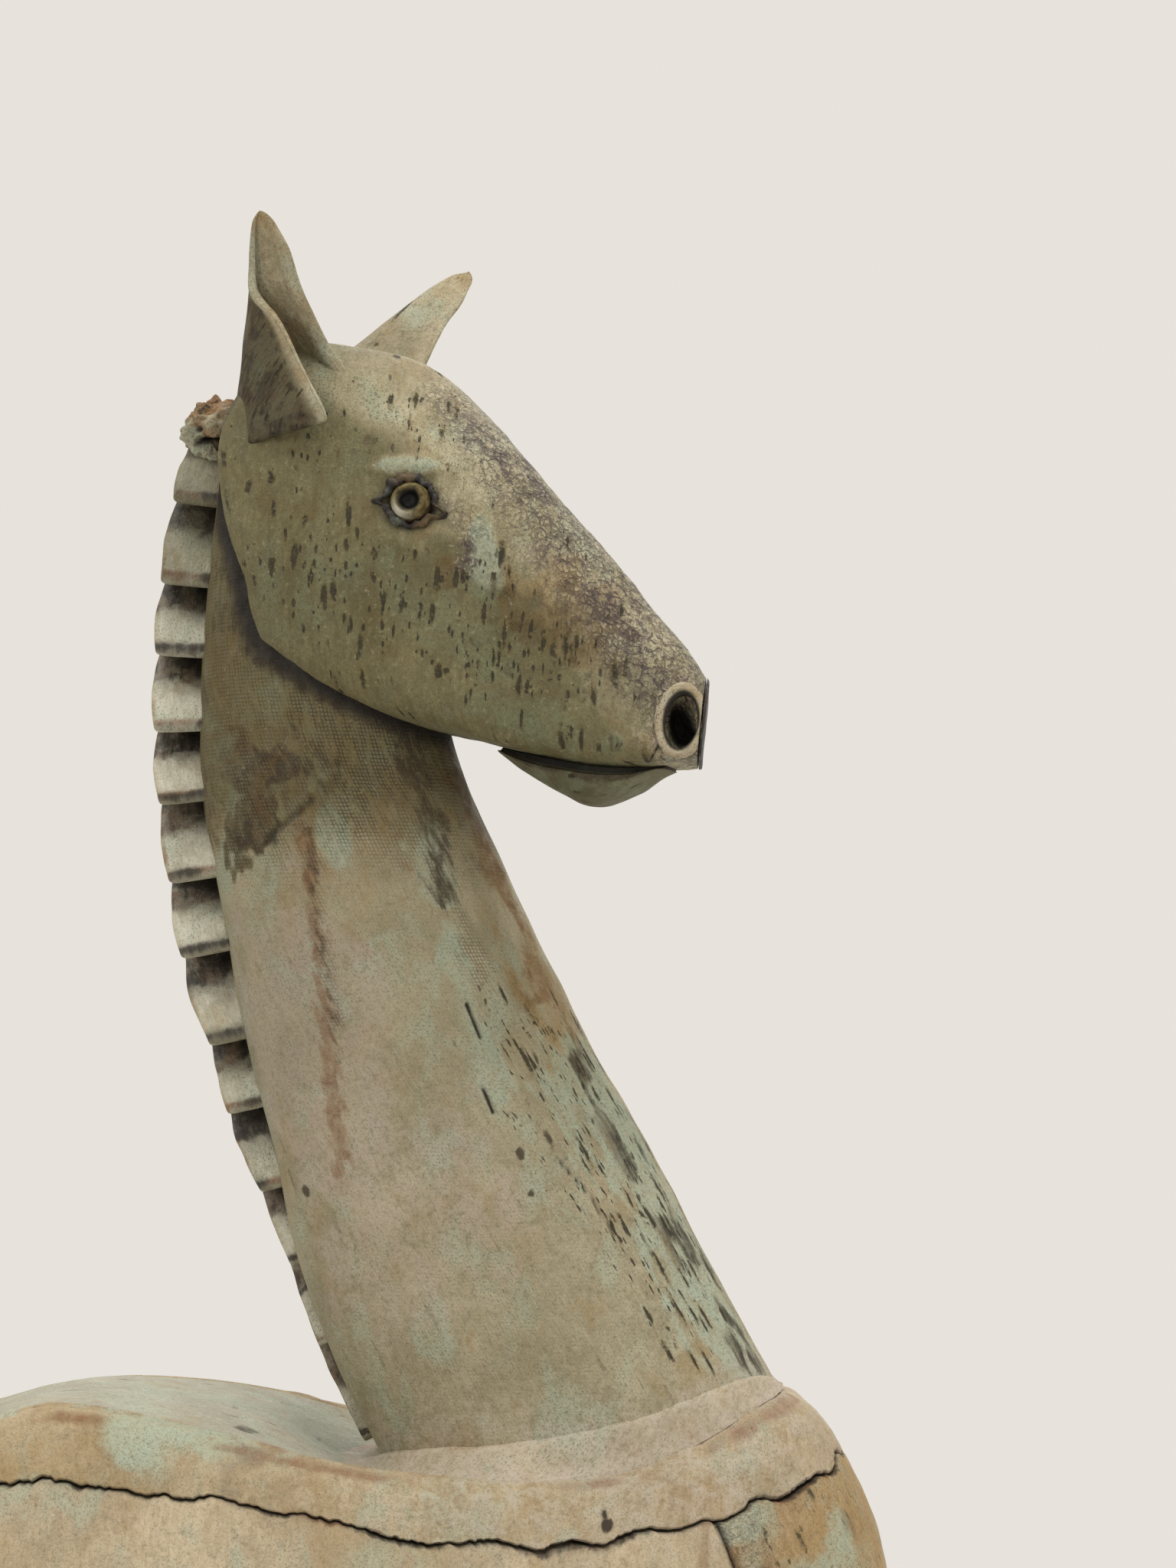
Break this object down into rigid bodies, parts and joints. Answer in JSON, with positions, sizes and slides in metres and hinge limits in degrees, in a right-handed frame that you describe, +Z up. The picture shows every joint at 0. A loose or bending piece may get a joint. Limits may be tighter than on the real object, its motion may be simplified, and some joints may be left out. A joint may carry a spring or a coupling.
{
  "type": "horse sculpture",
  "caption": "Standing slab-built ceramic horse with a long leaning neck, pleated mane strip, pricked leaf ears and a head turned to its right.",
  "frame": {"origin": "centre of the overall bounding box in plan, on the ground under the hooves", "axes": "+X the way the chest faces, +Y the horse's left side, +Z up"},
  "size_m": [0.3726, 0.1256, 0.569],
  "materials": {
    "head": "matt weathered grey-green slip over stoneware, dark flecks",
    "neck": "matt slip with canvas texture and rust stains",
    "mane": "satin grey-white slip with rust-brown fold edges",
    "knot": "matt iron brown, torn surface",
    "ear": "matt ochre-grey slip, dark spots",
    "eye": "satin ochre glaze",
    "lid": "matt dark manganese wash",
    "jaw": "matt grey slip",
    "back": "matt pale blue-green slip",
    "cove": "matt pale lavender-pink slip",
    "band": "matt beige and ochre slip with green patches",
    "side": "matt beige-grey slip",
    "chest": "matt ochre-brown with green mottling",
    "belly": "matt bare stoneware",
    "leg": "matt grey-green slip with rust stains",
    "hoof": "matt dark iron wash"
  },
  "bodies": {
    "root": {"head_shell": "head", "nose_plate": "lid", "lower_jaw": "jaw", "right_ear": "ear", "left_ear": "ear", "right_eyeball": "eye", "left_eyeball": "eye", "right_eyelid": "lid", "left_eyelid": "lid", "right_nostril_rim": "head", "left_nostril_rim": "head", "neck_tube": "neck", "neck_base_coil": "cove", "mane_strip": "mane", "mane_top_knot": "knot", "back_slab": "back", "right_top_band": "band", "left_top_band": "band", "right_side_slab": "side", "left_side_slab": "side", "chest_slab": "chest", "rump_slab": "side", "belly_slab": "belly", "right_front_leg": "leg", "left_front_leg": "leg", "right_rear_leg": "leg", "left_rear_leg": "leg", "right_front_hoof": "hoof", "left_front_hoof": "hoof", "right_rear_hoof": "hoof", "left_rear_hoof": "hoof", "tail_strip": "mane"}
  },
  "joints": []
}
